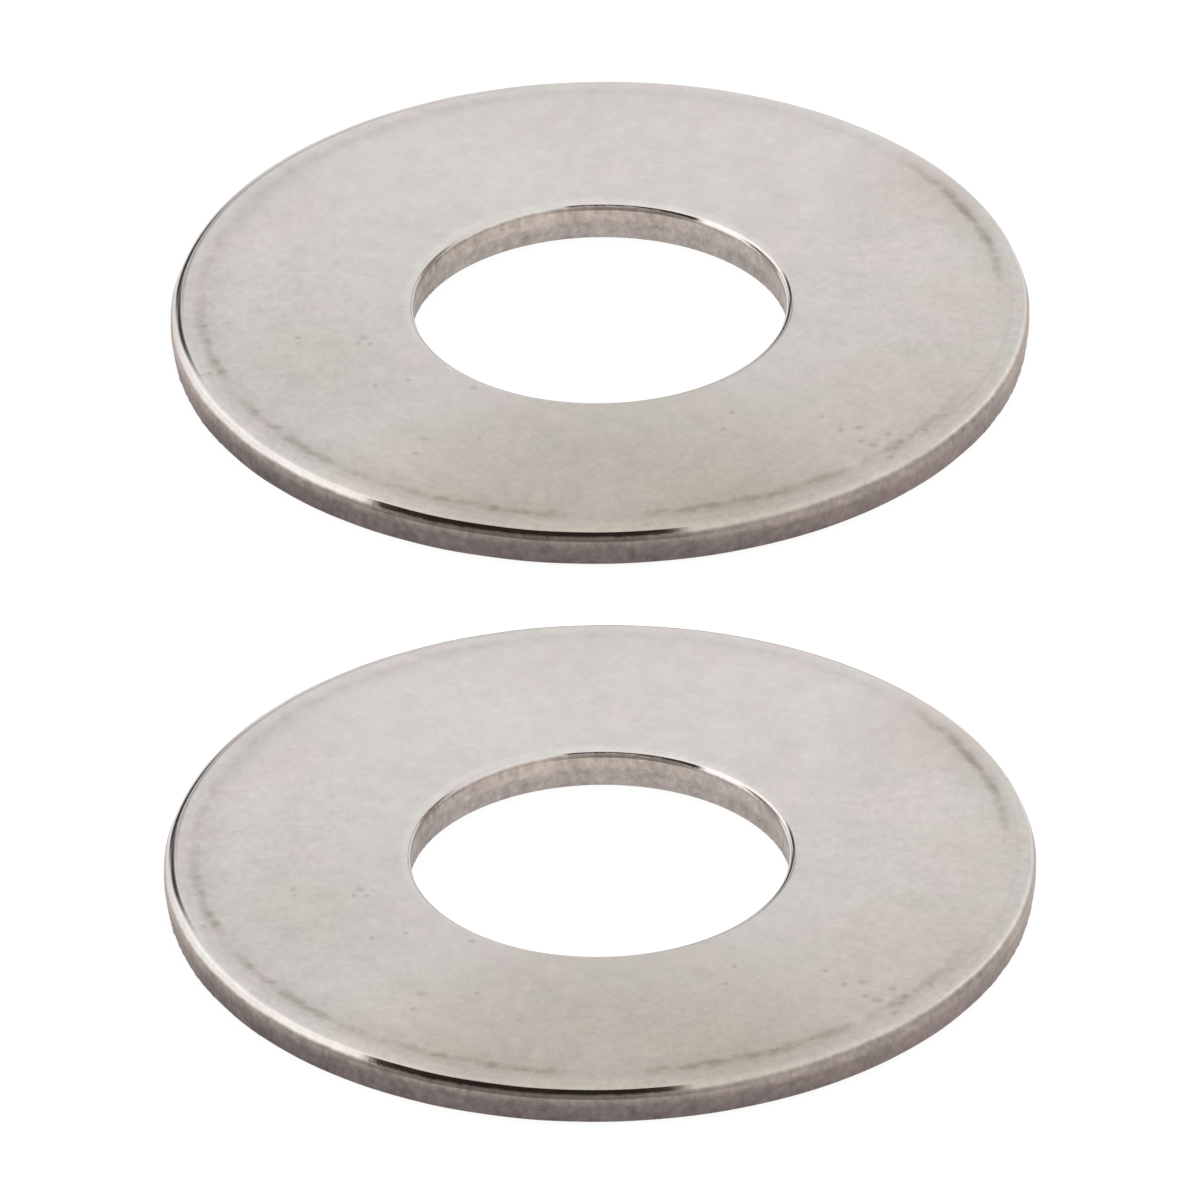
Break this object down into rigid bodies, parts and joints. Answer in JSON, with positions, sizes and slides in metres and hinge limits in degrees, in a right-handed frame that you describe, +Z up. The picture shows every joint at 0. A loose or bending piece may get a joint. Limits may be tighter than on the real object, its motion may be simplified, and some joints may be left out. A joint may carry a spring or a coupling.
{
  "type": "pair of pin washers",
  "caption": "Plain flat round washers for a clevis pin, kept as a pair, each a satin steel stamping with a central hole and soft rolled upper edges.",
  "frame": {"origin": "on the surface that both washers lie on, midway between them (bottom centre of the pair's box)", "axes": "+Z up along both pin holes, +Y from the front washer to the rear washer, +X to the right"},
  "size_m": [0.03, 0.0658, 0.0015],
  "materials": {
    "washer_steel": "satin, tumbled, with matt grey torn edges"
  },
  "bodies": {
    "root": {"front_washer": "washer_steel", "rear_washer": "washer_steel"}
  },
  "joints": []
}
